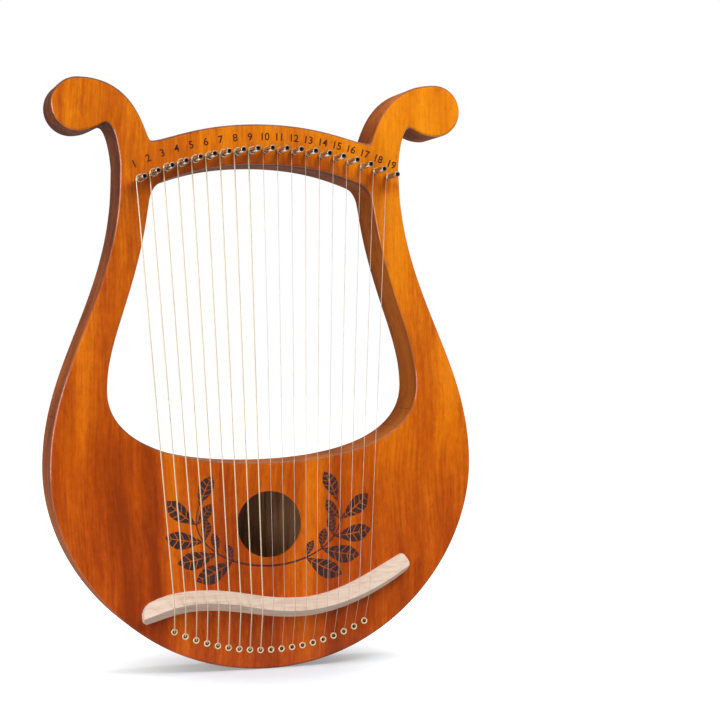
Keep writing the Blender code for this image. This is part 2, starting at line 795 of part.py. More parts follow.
def build_strings():
    for number in NUMBERS:
        run = string_points(number)
        wire = string_radius(number)
        name = f"string_{number:02d}"
        curve = bpy.data.curves.new(name, "CURVE")
        curve.dimensions = "3D"
        curve.bevel_depth = 1.0
        curve.bevel_resolution = 1
        curve.use_fill_caps = True
        spline = curve.splines.new("POLY")
        spline.points.add(len(run) - 1)
        for point, (place, radius) in zip(spline.points, run):
            point.co = (*place, 1)
            point.radius = radius
        finish = BRONZE if number <= WOUND_STRINGS else STEEL
        linked(name, curve, PARTS, finish)
        coil = [Vector(place) for place, _ in run[-COIL_TURNS * COIL_POINTS - 2 :]]
        print(f"{name}: coil clears itself by {least_gap(coil, wire) * 1000:.2f} mm")


def build_harp():
    build_plates()
    build_frame()
    build_braces()
    build_bridge()
    build_pins()
    build_strings()


build_harp()
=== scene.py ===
import math

import bmesh
import bpy
from mathutils import Matrix, Vector


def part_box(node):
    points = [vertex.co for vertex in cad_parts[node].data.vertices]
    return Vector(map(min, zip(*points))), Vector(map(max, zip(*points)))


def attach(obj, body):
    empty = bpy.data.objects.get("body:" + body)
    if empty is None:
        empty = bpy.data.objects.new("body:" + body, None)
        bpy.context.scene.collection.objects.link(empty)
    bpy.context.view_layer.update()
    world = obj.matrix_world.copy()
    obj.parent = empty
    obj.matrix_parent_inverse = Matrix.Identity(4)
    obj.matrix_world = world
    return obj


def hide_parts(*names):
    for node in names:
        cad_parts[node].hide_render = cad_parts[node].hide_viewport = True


# Lyre harp with nineteen strings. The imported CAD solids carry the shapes. This script gives them their
# woods and metals, and adds the eyelets, the string numbers and the burnt laurel sprays.

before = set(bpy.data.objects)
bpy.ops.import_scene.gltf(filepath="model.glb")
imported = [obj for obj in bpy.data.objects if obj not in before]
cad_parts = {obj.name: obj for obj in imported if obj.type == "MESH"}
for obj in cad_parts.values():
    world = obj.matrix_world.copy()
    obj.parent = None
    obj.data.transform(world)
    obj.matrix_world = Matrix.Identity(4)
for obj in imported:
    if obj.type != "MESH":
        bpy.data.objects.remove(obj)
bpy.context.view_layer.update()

# Places and sizes from the CAD, in metres
FRONT = -0.0095
BACK = 0.0385
BOARD = 0.003
GLUE_GAP = 0.0003
PIN_HEAD = -0.0385
PIN_FOOT = 0.0112
PIN_RADIUS = 0.0025
SOCKET_HALF = 0.0012
SOCKET_DEPTH = 0.004
IN_SOCKET = 0.0013
BEAD_RADIUS = 0.0019
BAND_MIDDLE = 0.0015
EYELET_STEP = 0.01006
EYELET_LOWEST = 0.0173
EYELET_ARC = 0.2025

# Strings: each is bare steel within COIL_REACH of its pin's axis
NUMBERS = range(1, 20)
MIDDLE_NUMBER = 10
WOUND_STRINGS = 9
WOUND_RADIUS = 0.00055
PLAIN_RADIUS = 0.00024
COIL_HEIGHT = 0.0065
COIL_STEPS = 3
COIL_POINTS = 28
COIL_CLEARANCE = 0.00005
COIL_REACH = 0.0045
CAD_COIL_GAP = 0.0005

# Woodwork: into how many pieces the line between two of the CAD's corners is cut, the rounding of the
# boards' edges, and the holes' radii
CUTS = 4
EDGE_RADIUS = 0.0022
EDGE_STEPS = 5
HOLE_SIDES = 24
PIN_HOLE = 0.0026
BEAD_HOLE = 0.0028
EYELET_HOLE = 0.0017
EYELET_THROAT = 0.0016

# Corners closer than MERGE are one, and those within SAME_DEPTH of a depth lie at it. A face is flat when
# its normal has more than FLAT from front to back, and a wall when it has less than UPRIGHT. Corners within
# BY_OUTLINE of an outline move with it, and loops narrower than SMALLEST_LOOP are drilled holes.
MERGE = 0.000001
SAME_DEPTH = 0.00005
FLAT = 0.99
UPRIGHT = 0.2
BY_OUTLINE = 0.0004
SMALLEST_LOOP = 0.03

# String numbers over the pins: the arc's middle across, centre height and radius, then degrees
NUMBER_ARC = (0.0055, 0.1763, 0.3109)
NUMBER_STEP = 2.572
NUMBER_START = -0.60
NUMBER_SIZE = 0.0095
NUMBER_BOLDER = 0.00014
PIN_ARC_CENTRE = (0.0069, FRONT, 0.1787)

# Eyelets, as radius and distance in front of the plate, in millimetres
EYELET_PROFILE = [
    (3.12, -0.05), (3.02, 0.30), (2.60, 0.55), (2.15, 0.50), (1.65, 0.15),
    (1.42, -0.40), (1.40, -1.00), (1.65, -1.00), (1.70, -0.05),
]

# Laurel sprays round the sound hole
SPRAY_CENTRE = (0.0015, 0.1385)
SPRAY_HALF_WIDTH = 0.0690
SPRAY_HALF_HEIGHT = 0.0440
SPRAY_ANGLES = (-90, 16)
SPRAY_STEPS = 60
SPRAY_FIRST_LEAF = 0.0360
STEM_WIDTH = 0.0018
LEAF_LENGTH = 0.0390
LEAF_WIDTH = 0.0170
LEAF_PAIRS = 4
LEAF_ROWS = [-1.0, -0.80, -0.45, -0.07, 0.07, 0.45, 0.80, 1.0]
VEIN = 0.025
LEAF_PATCHES = 6
BURN_PROUD = 0.00006


# Modelling helpers

def eyelet_place(number):
    """Where a string comes out of the front board."""
    across = BAND_MIDDLE + EYELET_STEP * (number - MIDDLE_NUMBER)
    height = EYELET_LOWEST + EYELET_ARC - math.sqrt(EYELET_ARC**2 - (across - BAND_MIDDLE) ** 2)
    return Vector((across, FRONT, height))


def pin_middle(number):
    """The middle of a tuning pin."""
    low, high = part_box(f"tuning_pin_{number:02d}")
    return (low + high) / 2


def off_axis(place, axis):
    """How far a place is from an axis that runs from front to back."""
    return math.hypot(place.x - axis.x, place.z - axis.z)


def active():
    """The active object."""
    return bpy.context.view_layer.objects.active


def only(item):
    """Selects one object alone and makes it the active one."""
    bpy.ops.object.select_all(action="DESELECT")
    item.select_set(True)
    bpy.context.view_layer.objects.active = item


def added(operator, **settings):
    """Adds an object with one of Blender's own operators."""
    operator(**settings)
    return active()


def edit(item):
    """Opens one object in edit mode, with all of it selected."""
    only(item)
    bpy.ops.object.mode_set(mode="EDIT")
    bpy.ops.mesh.select_all(action="SELECT")


def done():
    """Leaves edit mode."""
    bpy.ops.object.mode_set(mode="OBJECT")


def pick(kind, test):
    """Selects the vertices or faces whose place and normal pass the test, in edit mode."""
    bpy.ops.mesh.select_mode(type=kind)
    bpy.ops.mesh.select_all(action="DESELECT")
    mesh = bmesh.from_edit_mesh(active().data)
    for one in mesh.faces if kind == "FACE" else mesh.verts:
        place = one.calc_center_median() if kind == "FACE" else one.co
        if test(place, one.normal):
            one.select_set(True)
    mesh.select_flush_mode()
    bmesh.update_edit_mesh(active().data)


def pick_edges(test):
    """Selects the edges that pass the test, in edit mode, and tells whether there are any."""
    bpy.ops.mesh.select_mode(type="EDGE")
    bpy.ops.mesh.select_all(action="DESELECT")
    mesh = bmesh.from_edit_mesh(active().data)
    for edge in mesh.edges:
        if test(edge):
            edge.select_set(True)
    bmesh.update_edit_mesh(active().data)
    return any(edge.select for edge in mesh.edges)


def turn_outward():
    """Turns all normals outward, in edit mode."""
    bpy.ops.mesh.select_all(action="SELECT")
    bpy.ops.mesh.normals_make_consistent(inside=False)


def finished(item, name, body, material):
    """Puts a piece's place into its mesh, names it and sets its body and its finish."""
    only(item)
    bpy.ops.object.transform_apply(location=True, rotation=True, scale=True)
    item.name = name
    item.data.name = name
    item.data.materials.clear()
    item.data.materials.append(material)
    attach(item, body)


def give_faces(piece, material, test):
    """Gives the faces that pass the test a finish of their own."""
    piece.data.materials.append(material)
    edit(piece)
    pick("FACE", test)
    piece.active_material_index = len(piece.data.materials) - 1
    bpy.ops.object.material_slot_assign()
    done()


def joined(items):
    """Joins several objects into one."""
    only(items[0])
    for item in items:
        item.select_set(True)
    bpy.ops.object.join()
    return active()


def copy_at(item, matrix):
    """Copies a mesh object with its own mesh, moved by the matrix."""
    mesh = item.data.copy()
    mesh.transform(matrix)
    copy = bpy.data.objects.new(item.name, mesh)
    bpy.context.scene.collection.objects.link(copy)
    return copy


def remove(item):
    """Deletes a pattern object that has been copied."""
    bpy.data.objects.remove(item)


# Shader helpers

def linear(code):
    """Turns an sRGB hex colour into the linear values that a shader takes."""
    parts = [int(code[i : i + 2], 16) / 255 for i in (0, 2, 4)]
    return [p / 12.92 if p <= 0.04045 else ((p + 0.055) / 1.055) ** 2.4 for p in parts] + [1.0]


def new_material(name):
    """An empty node material."""
    material = bpy.data.materials.new(name)
    material.use_nodes = True
    material.node_tree.nodes.clear()
    return material


def add_node(material, kind, settings):
    """Adds one node and gives its outputs. Each setting is a property of the node, the stops of its ramp, the
    value of an input, or the output that an input is joined to."""
    tree = material.node_tree
    node = tree.nodes.new(kind)
    for name, value in settings.items():
        if isinstance(value, bpy.types.NodeSocket):
            tree.links.new(value, node.inputs[name])
        elif name == "stops":
            stops = node.color_ramp.elements
            stops[0].position, stops[0].color = value[0][0], linear(value[0][1])
            stops[-1].position, stops[-1].color = value[-1][0], linear(value[-1][1])
            for place, code in value[1:-1]:
                stops.new(place).color = linear(code)
        elif isinstance(name, int) or name in node.inputs:
            node.inputs[name].default_value = value
        else:
            setattr(node, name, value)
    return node.outputs


def own_place(material):
    """The place on the piece, in metres."""
    return add_node(material, "ShaderNodeTexCoord", {})["Object"]


def noise(material, place, scale, detail, roughness=0.5):
    """Noise with so many waves to the metre, or so many along X, Y and Z."""
    if isinstance(scale, tuple):
        place = add_node(material, "ShaderNodeMapping", {"Vector": place, "Scale": scale})[0]
        scale = 1.0
    settings = {"Vector": place, "Scale": scale, "Detail": detail, "Roughness": roughness}
    return add_node(material, "ShaderNodeTexNoise", settings)


def maths(material, operation, *terms, clamp=False):
    """A sum; each term is a number or another node's output."""
    settings = {"operation": operation, "use_clamp": clamp, **dict(enumerate(terms))}
    return add_node(material, "ShaderNodeMath", settings)[0]


def ranged(material, value, start, end, first, last, kind="LINEAR"):
    """Turns a value between start and end into one between first and last."""
    spans = {"From Min": start, "From Max": end, "To Min": first, "To Max": last}
    return add_node(material, "ShaderNodeMapRange", {"interpolation_type": kind, "Value": value, **spans})[0]


def ramp(material, share, *stops):
    """A colour ramp."""
    return add_node(material, "ShaderNodeValToRGB", {"stops": stops, "Fac": share})[0]


def mixed(material, share, first, second, blend="MIX"):
    """Two colours mixed."""
    settings = {"data_type": "RGBA", "blend_type": blend, 0: share, 6: first, 7: second}
    return add_node(material, "ShaderNodeMix", settings)[2]


def chosen(material, share, first, second):
    """Two numbers mixed."""
    return add_node(material, "ShaderNodeMix", {"data_type": "FLOAT", 0: share, 2: first, 3: second})[0]


def relief(material, height, strength, distance):
    """Fine unevenness of the surface."""
    settings = {"Strength": strength, "Distance": distance, "Height": height}
    return add_node(material, "ShaderNodeBump", settings)[0]


def surfaced(material, settings):
    """Ends a material with its principled shader."""
    shader = add_node(material, "ShaderNodeBsdfPrincipled", settings)
    add_node(material, "ShaderNodeOutputMaterial", {"Surface": shader[0]})
    return material


# Finishes

def stained_mahogany(name, specular, coat, dullest, glossiest):
    """Mahogany boards, planed and sanded, stained orange on the flat faces and dark red-brown round the
    sides, under a satin lacquer: long fine streaks along the strings, short dark pores, a soft sheen."""
    wood = new_material(name)
    at = add_node(wood, "ShaderNodeTexCoord", {})
    x, y, z = add_node(wood, "ShaderNodeSeparateXYZ", {0: at["Object"]})
    # The grain wanders a few millimetres to each side over the length of the arms.
    wander = noise(wood, at["Object"], 7.0, 1.0)["Color"]
    sway = add_node(wood, "ShaderNodeVectorMath", {"operation": "MULTIPLY", 0: wander, 1: (0.022, 0.022, 0.0)})
    grain = add_node(wood, "ShaderNodeVectorMath", {"operation": "ADD", 0: at["Object"], 1: sway[0]})[0]
    # Streaks 2 to 3 mm wide and 60 mm long.
    streaks = noise(wood, grain, (390.0, 390.0, 15.0), 4.0, 0.6)["Fac"]
    # Bands of slower growth, 20 to 40 mm wide.
    bands = noise(wood, grain, (34.0, 34.0, 4.0), 2.0)["Fac"]
    # Flecks of figure across the grain, 4 by 9 mm.
    flecks = noise(wood, grain, (240.0, 240.0, 110.0), 3.0, 0.65)["Fac"]
    # Pores, drawn 0.8 by 7 mm, about twice as coarse as real ones so that they show.
    pores = noise(wood, grain, (1250.0, 1250.0, 150.0), 1.0)["Fac"]
    pore_mask = ranged(wood, pores, 0.60, 0.76, 0.0, 0.30)
    # Darker and redder towards the bowl's bottom and the left arm.
    rise = ranged(wood, z, 0.0, 0.45, -0.16, 0.0)
    across = maths(wood, "MULTIPLY", x, maths(wood, "MULTIPLY_ADD", z, 1.1, 0.15))
    # On the front, painted shade of the pins darkens the wood between them and the window, over 10 mm.
    settings = {"operation": "DISTANCE", 0: at["Object"], 1: PIN_ARC_CENTRE}
    from_centre = add_node(wood, "ShaderNodeVectorMath", settings)["Value"]
    under = ranged(wood, from_centre, 0.290, 0.300, 1.0, 0.0, "SMOOTHSTEP")
    above = ranged(wood, z, 0.428, 0.446, 0.0, 1.0, "SMOOTHSTEP")
    on_front = maths(wood, "LESS_THAN", y, 0.0)
    shaded = maths(wood, "MULTIPLY", maths(wood, "MULTIPLY", under, above), on_front)
    tone = maths(wood, "ADD", rise, across)
    for part, weight in ((streaks, 0.36), (bands, 0.62), (flecks, 0.22), (shaded, -0.20)):
        tone = maths(wood, "MULTIPLY_ADD", part, weight, tone)
    # Two broad dark stripes of heartwood run up the bowl and fade out into the arms.
    swayed_x = add_node(wood, "ShaderNodeSeparateXYZ", {0: grain})["X"]
    in_bowl = ranged(wood, z, 0.19, 0.25, 1.0, 0.0, "SMOOTHSTEP")
    for middle, darker in ((-0.110, -0.17), (0.088, -0.13)):
        aside = maths(wood, "ABSOLUTE", maths(wood, "SUBTRACT", swayed_x, middle))
        stripe = ranged(wood, aside, 0.012, 0.032, darker, 0.0, "SMOOTHSTEP")
        tone = maths(wood, "MULTIPLY_ADD", stripe, in_bowl, tone)
    face = ramp(
        wood, tone, (0.24, "943D00"), (0.38, "B24E00"), (0.50, "CA6300"), (0.62, "E27B00"), (0.80, "F89304")
    )
    # The stain is redder in the bowl and more golden in the crossbar.
    redder = ramp(wood, ranged(wood, z, 0.02, 0.46, 0.0, 1.0), (0.0, "FFDEFF"), (1.0, "FFFFFF"))
    face = mixed(wood, 1.0, face, redder, "MULTIPLY")
    # Round the sides the colour is darker in the upper parts: painted shade against the light from above.
    side_tone_painted_shade = maths(wood, "MULTIPLY_ADD", z, -0.9, tone)
    side = ramp(wood, side_tone_painted_shade, (0.0, "481C04"), (0.22, "843F0B"), (0.47, "AA5A10"))
    # Faces that look to the front or the back carry the orange stain, all others the dark one. The rounded
    # edges that look up are painted dark too: painted shade against the light from above.
    turned = add_node(wood, "ShaderNodeSeparateXYZ", {0: at["Normal"]})
    facing = ranged(wood, maths(wood, "ABSOLUTE", turned["Y"]), 0.20, 0.85, 0.0, 1.0, "SMOOTHSTEP")
    level = ranged(wood, turned["Z"], 0.08, 0.40, 1.0, 0.0, "SMOOTHSTEP")
    stain = mixed(wood, maths(wood, "MULTIPLY", facing, level), side, face)
    return surfaced(wood, {
        "IOR": 1.5, "Specular IOR Level": specular, "Coat Weight": coat, "Coat Roughness": 0.10,
        "Base Color": mixed(wood, pore_mask, stain, linear("5A2408")),
        "Roughness": ranged(wood, streaks, 0.3, 0.7, dullest, glossiest),
        "Normal": relief(wood, maths(wood, "SUBTRACT", streaks, pore_mask), 0.12, 0.0004),
    })


def bare_mahogany():
    """Unstained mahogany inside the box, sawn and sanded once: dull grey-brown with plain straight grain."""
    wood = new_material("mahogany_bare_inside")
    at = own_place(wood)
    streaks = noise(wood, at, (330.0, 330.0, 12.0), 4.0, 0.6)["Fac"]
    # The board behind the sound hole is painted paler on the right and darker on the left: painted light
    # from the lamps shining in through the hole, and painted shade under its left rim.
    x = add_node(wood, "ShaderNodeSeparateXYZ", {0: at})["X"]
    tone = maths(wood, "MULTIPLY_ADD", x, 7.0, streaks)
    colour = ramp(wood, tone, (0.22, "4E3020"), (0.50, "94603E"), (0.78, "CE9A6E"))
    bumps = relief(wood, streaks, 0.2, 0.0004)
    return surfaced(wood, {"IOR": 1.45, "Roughness": 0.75, "Base Color": colour, "Normal": bumps})


def bare_spruce():
    """Spruce bars inside the box, sawn: pale yellow with straight darker growth lines 3 mm apart."""
    wood = new_material("spruce_bare")
    lines = add_node(wood, "ShaderNodeTexWave", {
        "wave_type": "BANDS", "bands_direction": "Y", "Scale": 105.0, "Distortion": 1.5, "Detail": 2.0,
        "Vector": own_place(wood),
    })["Fac"]
    colour = ramp(wood, lines, (0.0, "B98A56"), (0.5, "D8B27C"), (1.0, "E4C490"))
    return surfaced(wood, {"IOR": 1.45, "Roughness": 0.7, "Base Color": colour})


def oiled_maple():
    """Maple, shaped and sanded, with a thin oil finish: pale pinkish cream, faint streaks and tiny flecks."""
    wood = new_material("maple_thin_oil")
    # Streaks 2 to 3 mm wide that run along the bridge.
    streaks = noise(wood, own_place(wood), (22.0, 420.0, 420.0), 4.0, 0.65)["Fac"]
    colour = ramp(wood, streaks, (0.25, "C2A590"), (0.50, "DAC1AF"), (0.75, "E6CFC0"))
    bumps = relief(wood, streaks, 0.12, 0.0003)
    return surfaced(wood, {"IOR": 1.46, "Roughness": 0.55, "Base Color": colour, "Normal": bumps})


def burnt_wood(name, darkest, dark, brown, palest):
    """Wood burnt by an engraving laser: matt charcoal with a bluish cast, browner where it burnt less."""
    wood = new_material(name)
    char = noise(wood, own_place(wood), (700.0, 700.0, 330.0), 4.0, 0.7)["Fac"]
    colour = ramp(wood, char, (0.30, darkest), (0.48, dark), (0.60, brown), (0.74, palest))
    bumps = relief(wood, char, 0.4, 0.0004)
    return surfaced(wood, {"IOR": 1.45, "Roughness": 0.7, "Base Color": colour, "Normal": bumps})


def nickel_plate():
    """Steel with a bright nickel plate: a warm grey mirror. Its faint turning marks are drawn 0.6 mm apart,
    coarser than real ones, so that they show."""
    metal = new_material("steel_nickel_plated")
    at = own_place(metal)
    settings = {"bands_direction": "Y", "Scale": 520.0, "Distortion": 0.6, "Vector": at}
    marks = add_node(metal, "ShaderNodeTexWave", settings)["Fac"]
    clouds = noise(metal, at, 420.0, 2.0)["Fac"]
    return surfaced(metal, {
        "Metallic": 1.0,
        "Base Color": ramp(metal, clouds, (0.3, "B8B2AA"), (0.7, "DCD8D2")),
        "Roughness": ranged(metal, clouds, 0.0, 1.0, 0.16, 0.30),
        "Normal": relief(metal, marks, 0.08, 0.0001),
    })


def blackened_steel():
    """Painted shade in the pins' sockets: dull and nearly black steel."""
    metal = new_material("steel_painted_socket_shade")
    clouds = noise(metal, own_place(metal), 900.0, 2.0)["Fac"]
    colour = ramp(metal, clouds, (0.3, "141210"), (0.7, "2A2622"))
    return surfaced(metal, {"Metallic": 0.6, "Roughness": 0.6, "Base Color": colour})


def wound_bronze():
    """Bronze wire wound round a steel core: pale copper gold, ribbed across the string. The ribs are drawn
    1.6 mm apart, several times as coarse as real ones, so that they show."""
    metal = new_material("bronze_wound_wire")
    settings = {"bands_direction": "Z", "Scale": 200.0, "Vector": own_place(metal)}
    ribs = add_node(metal, "ShaderNodeTexWave", settings)["Fac"]
    colour = ramp(metal, ribs, (0.0, "DEC89C"), (0.5, "F0E0BC"), (1.0, "FCF2D8"))
    bumps = relief(metal, ribs, 0.4, 0.0001)
    return surfaced(metal, {"Metallic": 0.35, "Roughness": 0.45, "Base Color": colour, "Normal": bumps})


def drawn_steel(name, darkest, lightest, metallic, roughness):
    """Drawn steel wire, bright, tinted warm by a painted reflection of the orange wood; faint die marks."""
    metal = new_material(name)
    marks = noise(metal, own_place(metal), (6000.0, 6000.0, 60.0), 2.0)["Fac"]
    colour = ramp(metal, marks, (0.3, darkest), (0.7, lightest))
    return surfaced(metal, {"Metallic": metallic, "Roughness": roughness, "Base Color": colour})


def pressed_brass(name, dark, light, metallic):
    """Pressed, lightly lacquered brass eyelets: pale gold outside, dark brown painted shade in the throat."""
    metal = new_material(name)
    clouds = noise(metal, own_place(metal), 700.0, 3.0)["Fac"]
    colour = ramp(metal, clouds, (0.25, dark), (0.75, light))
    gloss = ranged(metal, clouds, 0.0, 1.0, 0.24, 0.40)
    return surfaced(metal, {"Metallic": metallic, "Base Color": colour, "Roughness": gloss})


def studio_paper():
    """White studio paper: matt, and shown to the camera and in reflections near plain white."""
    paper = new_material("white_studio_paper")
    at = own_place(paper)
    fibre = noise(paper, at, 60.0, 2.0)["Fac"]
    colour = ramp(paper, fibre, (0.3, "AEB2B6"), (0.7, "B2B6BA"))
    ray = add_node(paper, "ShaderNodeLightPath", {})
    seen = maths(paper, "ADD", ray["Is Camera Ray"], ray["Is Glossy Ray"])
    seen = maths(paper, "ADD", seen, ray["Is Transmission Ray"], clamp=True)
    # The glow is weaker under the harp, so that its soft shadow shows there.
    far = add_node(paper, "ShaderNodeVectorMath", {"operation": "LENGTH", 0: at})["Value"]
    glow_level = ranged(paper, far, 0.04, 0.21, 0.31, 0.96, "SMOOTHSTEP")
    # Reflections see the paper bright behind the harp and dim in front of it, as they see the room.
    y = add_node(paper, "ShaderNodeSeparateXYZ", {0: at})["Y"]
    dimmed = chosen(paper, ray["Is Glossy Ray"], 1.0, ranged(paper, y, -0.2, 0.4, 0.05, 1.0))
    glow_level = maths(paper, "MULTIPLY", glow_level, dimmed)
    settings = {"operation": "SCALE", "Vector": colour, "Scale": dimmed}
    matt_colour = add_node(paper, "ShaderNodeVectorMath", settings)[0]
    matt = add_node(paper, "ShaderNodeBsdfDiffuse", {"Color": matt_colour})[0]
    lift = maths(paper, "MULTIPLY", seen, glow_level)
    glow = add_node(paper, "ShaderNodeEmission", {"Color": (1.0, 1.0, 1.0, 1.0), "Strength": lift})[0]
    both = add_node(paper, "ShaderNodeAddShader", {0: matt, 1: glow})[0]
    add_node(paper, "ShaderNodeOutputMaterial", {"Surface": both})
    return paper


STAINED = stained_mahogany("mahogany_orange_stain_satin_lacquer", 0.10, 1.0, 0.36, 0.28)
SIDES = stained_mahogany("mahogany_dark_stain_rubbed_down", 0.03, 0.0, 0.66, 0.56)
BARE = bare_mahogany()
SPRUCE = bare_spruce()
MAPLE = oiled_maple()
BURNT = burnt_wood("wood_burnt_to_charcoal", "241618", "3C2628", "4A2E28", "70401F")
SCORCHED = burnt_wood("wood_scorched_brown", "2A1006", "3E1A08", "52240A", "6E340E")
NICKEL = nickel_plate()
SOCKET_SHADE = blackened_steel()
WOUND = wound_bronze()
# Both steel wires are tinted warm: a painted reflection of the orange wood.
STEEL = drawn_steel("steel_drawn_wire", "D0C0AC", "E6D8C6", 0.55, 0.35)
COILED = drawn_steel("steel_core_wire", "C0AA86", "ECDAB8", 0.65, 0.30)
BRASS = pressed_brass("brass_pressed_lacquered", "FBD29C", "FFE6BC", 0.20)
# The eyelets' throats get a dark copy of the brass: painted shade.
THROAT_SHADE = pressed_brass("brass_painted_throat_shade", "261C10", "3A2C1A", 0.2)
PAPER = studio_paper()


# Wooden body: the boards are made anew on the CAD's outlines, with finer curves and softer edges, and the
# pieces between them are copies of the CAD solids with their walls bent to the same curves

def merged_copy(node):
    """Copies a CAD solid, merges its loose triangles and makes whole faces of those in its walls."""
    piece = copy_at(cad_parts[node], Matrix.Identity(4))
    edit(piece)
    bpy.ops.mesh.remove_doubles(threshold=MERGE)
    pick("FACE", lambda place, normal: abs(normal.y) < FLAT)
    bpy.ops.mesh.dissolve_limited(angle_limit=math.radians(0.3))
    done()
    return piece


def at_depth(edge, depth):
    """Whether an edge lies at one depth."""
    return all(abs(end.co.y - depth) < SAME_DEPTH for end in edge.verts)


def outline_loops(node, depth):
    """The body's outline, the window and the sound hole, as loops of corners seen from the front."""
    solid = merged_copy(node)
    mesh = bmesh.new()
    mesh.from_mesh(solid.data)
    along = {}
    for edge in mesh.edges:
        sides = sorted(abs(face.normal.y) for face in edge.link_faces)
        if sides[0] < 0.5 and sides[1] > FLAT and at_depth(edge, depth):
            first, second = edge.verts
            along.setdefault(first, []).append(second)
            along.setdefault(second, []).append(first)
    loops = []
    while along:
        loop = [next(iter(along))]
        while len(loop) < 2 or loop[-1] != loop[0]:
            ahead = [end for end in along[loop[-1]] if len(loop) < 2 or end != loop[-2]]
            loop.append(ahead[0])
        for end in loop[:-1]:
            along.pop(end)
        loop = [Vector((end.co.x, end.co.z)) for end in loop[:-1]]
        # The pin and eyelet holes are left out.
        if max(end.x for end in loop) - min(end.x for end in loop) > SMALLEST_LOOP:
            loops.append(loop)
    mesh.free()
    remove(solid)
    # The widest first: outline, window, sound hole.
    return sorted(loops, key=lambda loop: min(end.x for end in loop))


def bow(loop, index, share):
    """How far the smooth curve through a loop's corners stands off the straight line between two of them."""
    before, start, end, after = (loop[(index + step) % len(loop)] for step in (-1, 0, 1, 2))
    span = end - start
    # A cubic with the directions of the chords on either side.
    first = (end - before) * (span.length / (end - before).length)
    second = (after - start) * (span.length / (after - start).length)
    return (
        first * (share * (1 - share) ** 2)
        - second * (share**2 * (1 - share))
        + span * (3 * share**2 - 2 * share**3 - share)
    )


def finer(loop):
    """The loop with its curved stretches cut in four."""
    places = []
    for index, start in enumerate(loop):
        end = loop[(index + 1) % len(loop)]
        for step in range(CUTS):
            places.append(start.lerp(end, step / CUTS) + bow(loop, index, step / CUTS))
    return places


def wall(loop, wood_inside, profile):
    """A closed strip along a loop: each row is set into the wood and lies at a depth, as the profile says."""
    area = sum(one.x * two.y - two.x * one.y for one, two in zip(loop, loop[1:] + loop[:1]))
    hand = 1 if (area > 0) == wood_inside else -1
    rows = len(profile) - 1
    strip = added(bpy.ops.mesh.primitive_grid_add, x_subdivisions=len(loop), y_subdivisions=rows, size=1.0)
    for vertex in strip.data.vertices:
        index = round((vertex.co.x + 0.5) * len(loop)) % len(loop)
        set_in, depth = profile[round((vertex.co.y + 0.5) * rows)]
        run = (loop[(index + 1) % len(loop)] - loop[index - 1]).normalized()
        place = loop[index] + Vector((-run.y, run.x)) * hand * set_in
        vertex.co = (place.x, depth, place.y)
    return strip


def close_level(level):
    """Fills the open edges that lie at one depth with flat faces, round any holes."""
    pick_edges(lambda edge: edge.is_boundary and at_depth(edge, level))
    bpy.ops.mesh.fill(use_beauty=True)


def in_place_of(node, piece, name, material, angle):
    """Finishes a wooden piece that replaces a CAD node. Its curved walls are shaded smooth, and its flat
    faces stay evenly lit up to their edges."""
    finished(piece, name, "harp", material)
    bpy.ops.object.shade_smooth_by_angle(angle=math.radians(angle))
    even = piece.modifiers.new("even_shading", "WEIGHTED_NORMAL")
    even.keep_sharp = True
    bpy.ops.object.modifier_apply(modifier=even.name)
    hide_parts(node)
    return piece


def board(node, name, glued, shown, holes):
    """A board between two depths, its outer and window edges rounded on the side that shows."""
    turned = -1 if shown < glued else 1
    rounded = [(0.0, glued)]
    for step in range(EDGE_STEPS + 1):
        angle = math.pi / 2 * step / EDGE_STEPS
        set_in = EDGE_RADIUS * (1 - math.cos(angle))
        rounded.append((set_in, shown - turned * EDGE_RADIUS * (1 - math.sin(angle))))
    square = [(0.0, glued), (0.0, shown)]
    strips = [wall(finer(OUTLINES[0]), True, rounded), wall(finer(OUTLINES[1]), False, rounded)]
    strips += [wall(hole, False, square) for hole in holes]
    piece = joined(strips)
    edit(piece)
    bpy.ops.mesh.remove_doubles(threshold=MERGE)
    close_level(glued)
    close_level(shown)
    turn_outward()
    done()
    return in_place_of(node, piece, name, STAINED, 40)


def round_hole(place, radius):
    """A circle of corners for a drilled hole."""
    turns = [2 * math.pi * step / HOLE_SIDES for step in range(HOLE_SIDES)]
    return [Vector((place.x + radius * math.cos(turn), place.z + radius * math.sin(turn))) for turn in turns]


def lift_at(place):
    """How far a point by an outline must move onto the smooth curve, or None away from the outlines."""
    place = Vector((place.x, place.z))
    nearest = None
    for loop in OUTLINES[:2]:
        for index, start in enumerate(loop):
            span = loop[(index + 1) % len(loop)] - start
            share = max(0.0, min(1.0, (place - start).dot(span) / span.length_squared))
            gap = (place - start - span * share).length
            if gap < BY_OUTLINE and (nearest is None or gap < nearest[0]):
                nearest = (gap, bow(loop, index, share))
    return nearest[1] if nearest else None


def along_outline(edge):
    """Whether an edge lies at one depth and follows an outline over its whole length."""
    first, second = (end.co for end in edge.verts)
    stations = (first, (first + second) / 2, second)
    return abs(first.y - second.y) < SAME_DEPTH and all(lift_at(place) is not None for place in stations)


